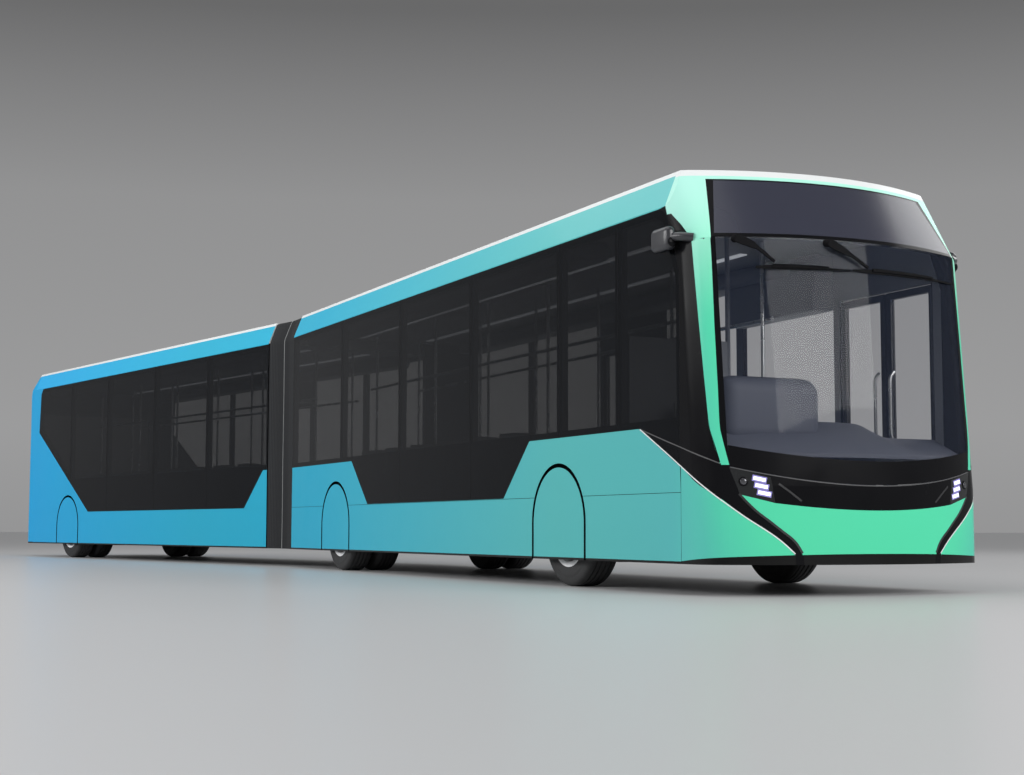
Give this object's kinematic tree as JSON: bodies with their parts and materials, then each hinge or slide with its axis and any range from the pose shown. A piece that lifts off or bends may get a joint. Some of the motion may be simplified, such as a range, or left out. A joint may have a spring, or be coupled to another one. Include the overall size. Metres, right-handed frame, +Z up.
{
  "type": "articulated electric bus",
  "caption": "Low-floor articulated electric bus: two glazed cars joined by bellows over a turntable, with covered wheels, inward doors and roof units.",
  "frame": {"origin": "on the road, under the middle of the parked bus's bounding box, with the rear car turned 10.56 degrees", "axes": "+X forward along the front car, +Y to its left, +Z up"},
  "size_m": [20.5582, 4.3697, 3.19],
  "materials": {
    "paint": "gloss paint",
    "roof": "gloss white paint",
    "unit": "satin paint",
    "glass": "dark tinted glass",
    "lamp": "clear lens",
    "red_lamp": "red lens",
    "black": "satin black",
    "seat": "woven seat cloth",
    "panel": "grained floor covering",
    "rail": "brushed",
    "steel": "black chassis paint",
    "bellows": "coated cloth",
    "door": "gloss black frame and glass",
    "tyre": "matt rubber",
    "rim": "light paint"
  },
  "bodies": {
    "front_car": {"front_floor": "panel", "front_right_wall": "paint", "front_left_wall": "paint", "front_roof": "roof", "front_roof_units": "unit", "front_mask": "paint", "front_trim": "black", "windscreen": "glass", "destination_glass": "glass", "front_side_glass": "glass", "headlamps": "lamp", "wipers": "black", "camera_mirrors": "black", "dashboard": "black", "steering_wheel": "black", "driver_seat": "seat", "cab_partition": "panel", "front_seats": "seat", "front_handrails": "rail", "mid_wheel_covers": "paint", "front_axle": "steel", "mid_axle": "steel", "turntable_base": "steel", "bellows": "bellows"},
    "rear_car": {"rear_floor": "panel", "rear_right_wall": "paint", "rear_left_wall": "paint", "rear_roof": "roof", "rear_roof_units": "unit", "rear_mask": "paint", "rear_window": "glass", "rear_side_glass": "glass", "tail_lamps": "red_lamp", "rear_seats": "seat", "rear_handrails": "rail", "rear_wheel_covers": "paint", "drive_axle": "steel", "turntable_arm": "steel"},
    "left_steer": {"left_knuckle": "steel", "left_steer_cover": "paint"},
    "right_steer": {"right_knuckle": "steel", "right_steer_cover": "paint"},
    "front_left_wheel": {"front_left_tyre": "tyre", "front_left_rim": "rim"},
    "front_right_wheel": {"front_right_tyre": "tyre", "front_right_rim": "rim"},
    "mid_left_wheel": {"mid_left_tyres": "tyre", "mid_left_rim": "rim"},
    "mid_right_wheel": {"mid_right_tyres": "tyre", "mid_right_rim": "rim"},
    "rear_left_wheel": {"rear_left_tyres": "tyre", "rear_left_rim": "rim"},
    "rear_right_wheel": {"rear_right_tyres": "tyre", "rear_right_rim": "rim"},
    "front_door_fore": {"front_door_fore_leaf": "door"},
    "front_door_aft": {"front_door_aft_leaf": "door"},
    "mid_door_fore": {"mid_door_fore_leaf": "door"},
    "mid_door_aft": {"mid_door_aft_leaf": "door"},
    "rear_door_fore": {"rear_door_fore_leaf": "door"},
    "rear_door_aft": {"rear_door_aft_leaf": "door"}
  },
  "joints": [
    {"name": "articulation", "type": "hinge", "parent": "front_car", "child": "rear_car", "pos_m": [-0.44092, 0.81494, 0.3], "axis": [0, 0, 1], "range_deg": [-55.56, 34.44], "deforming": ["bellows"]},
    {"name": "left_steering", "type": "hinge", "parent": "front_car", "child": "left_steer", "pos_m": [7.59908, 1.74494, 0.479], "axis": [0, 0, 1], "range_deg": [-45, 45]},
    {"name": "right_steering", "type": "hinge", "parent": "front_car", "child": "right_steer", "pos_m": [7.59908, -0.11506, 0.479], "axis": [0, 0, 1], "range_deg": [-45, 45]},
    {"name": "front_left_roll", "type": "hinge", "parent": "left_steer", "child": "front_left_wheel", "pos_m": [7.59908, 0.81494, 0.479], "axis": [0, 1, 0], "continuous": true},
    {"name": "front_right_roll", "type": "hinge", "parent": "right_steer", "child": "front_right_wheel", "pos_m": [7.59908, 0.81494, 0.479], "axis": [0, 1, 0], "continuous": true},
    {"name": "mid_left_roll", "type": "hinge", "parent": "front_car", "child": "mid_left_wheel", "pos_m": [1.79908, 0.81494, 0.479], "axis": [0, 1, 0], "continuous": true},
    {"name": "mid_right_roll", "type": "hinge", "parent": "front_car", "child": "mid_right_wheel", "pos_m": [1.79908, 0.81494, 0.479], "axis": [0, 1, 0], "continuous": true},
    {"name": "rear_left_roll", "type": "hinge", "parent": "rear_car", "child": "rear_left_wheel", "pos_m": [-8.08916, -0.61086, 0.479], "axis": [-0.1833, 0.9831, 0], "continuous": true},
    {"name": "rear_right_roll", "type": "hinge", "parent": "rear_car", "child": "rear_right_wheel", "pos_m": [-8.08916, -0.61086, 0.479], "axis": [-0.1833, 0.9831, 0], "continuous": true},
    {"name": "front_door_fore_swing", "type": "hinge", "parent": "front_car", "child": "front_door_fore", "pos_m": [9.47908, 2.02694, 1.4], "axis": [0, 0, 1], "range_deg": [0, 90]},
    {"name": "front_door_aft_swing", "type": "hinge", "parent": "front_car", "child": "front_door_aft", "pos_m": [8.28908, 2.02694, 1.4], "axis": [0, 0, -1], "range_deg": [0, 90]},
    {"name": "mid_door_fore_swing", "type": "hinge", "parent": "front_car", "child": "mid_door_fore", "pos_m": [5.07908, 2.02694, 1.4], "axis": [0, 0, 1], "range_deg": [0, 90]},
    {"name": "mid_door_aft_swing", "type": "hinge", "parent": "front_car", "child": "mid_door_aft", "pos_m": [3.88908, 2.02694, 1.4], "axis": [0, 0, -1], "range_deg": [0, 90]},
    {"name": "rear_door_fore_swing", "type": "hinge", "parent": "rear_car", "child": "rear_door_fore", "pos_m": [-4.47733, 1.29534, 1.4], "axis": [0, 0, 1], "range_deg": [0, 90]},
    {"name": "rear_door_aft_swing", "type": "hinge", "parent": "rear_car", "child": "rear_door_aft", "pos_m": [-5.64717, 1.07726, 1.4], "axis": [0, 0, -1], "range_deg": [0, 90]}
  ],
  "couplings": [
    {"joint": "right_steering", "follows": "left_steering", "ratio": 1}
  ]
}
